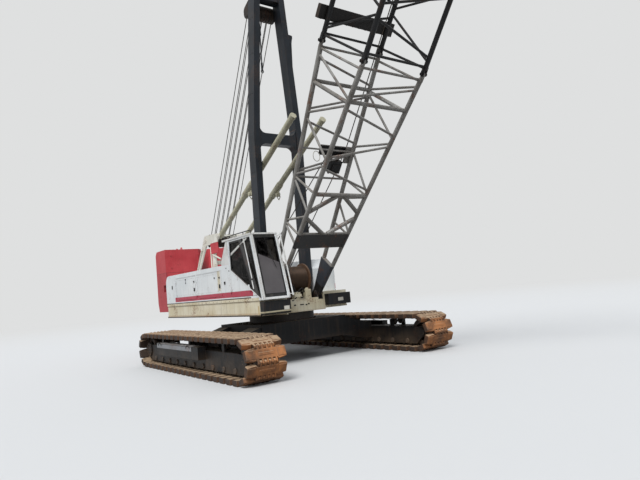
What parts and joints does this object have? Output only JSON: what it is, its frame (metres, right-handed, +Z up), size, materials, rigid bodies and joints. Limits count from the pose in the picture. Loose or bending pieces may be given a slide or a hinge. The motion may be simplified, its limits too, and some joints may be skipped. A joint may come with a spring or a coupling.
{
  "type": "lattice-boom crawler crane",
  "caption": "Lattice-boom crawler crane with a lattice boom, live mast, counterweight and side cab, on two tracks.",
  "frame": {"origin": "on the ground under the middle of the whole machine's box, boom included; the swing axis is at x = -3.4520 m", "axes": "+X towards the boom, +Y to the machine's left, +Z up"},
  "size_m": [18.2629, 5.68, 16.4256],
  "materials": {
    "black_paint": "worn matt black paint",
    "dark_steel": "greasy dark steel",
    "rusty_cast_steel": "rusty cast steel",
    "cream_paint": "stained cream paint",
    "white_paint": "worn white gloss paint",
    "engine_paint": "dull grey paint",
    "red_paint": "faded red paint",
    "rusty_steel": "rusty bare steel",
    "tinted_glass": "tinted safety glass",
    "seat_vinyl": "black vinyl",
    "black_plastic": "black plastic",
    "mast_paint": "blue-black paint",
    "wire_rope": "greased wire rope",
    "olive_paint": "faded pale olive paint",
    "worn_grey_paint": "weathered grey paint with rust streaks",
    "hook_steel": "painted cast steel"
  },
  "bodies": {
    "undercarriage": {"carbody": "black_paint", "swing_bearing": "dark_steel", "side_frames": "black_paint", "track_right": "rusty_cast_steel", "track_left": "rusty_cast_steel", "sprockets": "dark_steel", "idlers": "dark_steel", "bottom_rollers": "dark_steel", "carrier_rollers": "dark_steel"},
    "upperworks": {"deck": "cream_paint", "foot_brackets": "black_paint", "front_box": "black_paint", "swing_ring": "dark_steel", "house_roof": "white_paint", "house_right_side": "white_paint", "house_left_side": "white_paint", "bay_walls": "white_paint", "engine": "engine_paint", "counterweight_lower": "red_paint", "counterweight_upper": "red_paint", "gantry": "cream_paint", "gantry_sheaves": "dark_steel", "hoist_drums": "rusty_steel", "cab_shell": "white_paint", "cab_glass": "tinted_glass", "seat": "seat_vinyl", "console": "black_plastic"},
    "right_rear_door": {"right_rear_door": "white_paint"},
    "right_front_door": {"right_front_door": "white_paint"},
    "left_rear_door": {"left_rear_door": "white_paint"},
    "left_front_door": {"left_front_door": "white_paint"},
    "cab_door": {"cab_door": "white_paint", "door_glass": "tinted_glass"},
    "mast": {"mast_legs": "mast_paint", "mast_cross_member": "mast_paint", "mast_head": "dark_steel"},
    "upper_falls": {"falls_upper": "wire_rope"},
    "lower_falls": {"falls_lower": "wire_rope"},
    "boom_stops": {"boom_stops": "olive_paint"},
    "boom": {"boom_base": "worn_grey_paint", "boom_insert": "black_paint", "boom_tip": "black_paint", "head_sheaves": "dark_steel"},
    "pendants": {"pendants": "wire_rope"},
    "hook": {"hook_falls": "wire_rope", "hook_block": "hook_steel"}
  },
  "joints": [
    {"name": "swing", "type": "hinge", "parent": "undercarriage", "child": "upperworks", "pos_m": [-3.45195, 0, 1.1], "axis": [0, 0, 1], "continuous": true},
    {"name": "boom_luff", "type": "hinge", "parent": "upperworks", "child": "boom", "pos_m": [-2.66595, 0, 1.625], "axis": [0, -1, 0], "range_deg": [-22, 25]},
    {"name": "mast_luff", "type": "hinge", "parent": "upperworks", "child": "mast", "pos_m": [-3.11495, 0, 1.798], "axis": [0, -1, 0], "range_deg": [-24, 27]},
    {"name": "lower_falls_swing", "type": "hinge", "parent": "upperworks", "child": "lower_falls", "pos_m": [-6.89195, 0, 3.56], "axis": [0, -1, 0], "range_deg": [-24, 27]},
    {"name": "upper_falls_swing", "type": "hinge", "parent": "mast", "child": "upper_falls", "pos_m": [-3.28267, 0, 9.51069], "axis": [0, -1, 0], "range_deg": [-3, 3]},
    {"name": "boom_stop_swing", "type": "hinge", "parent": "upperworks", "child": "boom_stops", "pos_m": [-5.98195, 0, 3.6], "axis": [0, -1, 0], "range_deg": [-15, 17]},
    {"name": "pendant_swing", "type": "hinge", "parent": "boom", "child": "pendants", "pos_m": [8.11577, 0, 16.10717], "axis": [0, -1, 0], "range_deg": [-1.2, 1.2]},
    {"name": "hook_swing", "type": "hinge", "parent": "boom", "child": "hook", "pos_m": [8.60065, 0, 16.0456], "axis": [0, -1, 0], "range_deg": [-26, 23]},
    {"name": "cab_door_hinge", "type": "hinge", "parent": "upperworks", "child": "cab_door", "pos_m": [-3.28895, -1.508, 2], "axis": [0, 0, -1], "range_deg": [0, 100]},
    {"name": "right_rear_door_hinge", "type": "hinge", "parent": "upperworks", "child": "right_rear_door", "pos_m": [-7.19895, -1.508, 2], "axis": [0, 0, -1], "range_deg": [0, 110]},
    {"name": "right_front_door_hinge", "type": "hinge", "parent": "upperworks", "child": "right_front_door", "pos_m": [-5.49895, -1.508, 2], "axis": [0, 0, -1], "range_deg": [0, 110]},
    {"name": "left_rear_door_hinge", "type": "hinge", "parent": "upperworks", "child": "left_rear_door", "pos_m": [-7.19895, 1.508, 2], "axis": [0, 0, 1], "range_deg": [0, 110]},
    {"name": "left_front_door_hinge", "type": "hinge", "parent": "upperworks", "child": "left_front_door", "pos_m": [-5.49895, 1.508, 2], "axis": [0, 0, 1], "range_deg": [0, 110]}
  ],
  "couplings": [
    {"joint": "mast_luff", "follows": "boom_luff", "ratio": 1.05},
    {"joint": "lower_falls_swing", "follows": "boom_luff", "ratio": 1},
    {"joint": "upper_falls_swing", "follows": "boom_luff", "ratio": -0.05},
    {"joint": "boom_stop_swing", "follows": "boom_luff", "ratio": 0.66},
    {"joint": "pendant_swing", "follows": "boom_luff", "ratio": -0.04},
    {"joint": "hook_swing", "follows": "boom_luff", "ratio": -1}
  ]
}
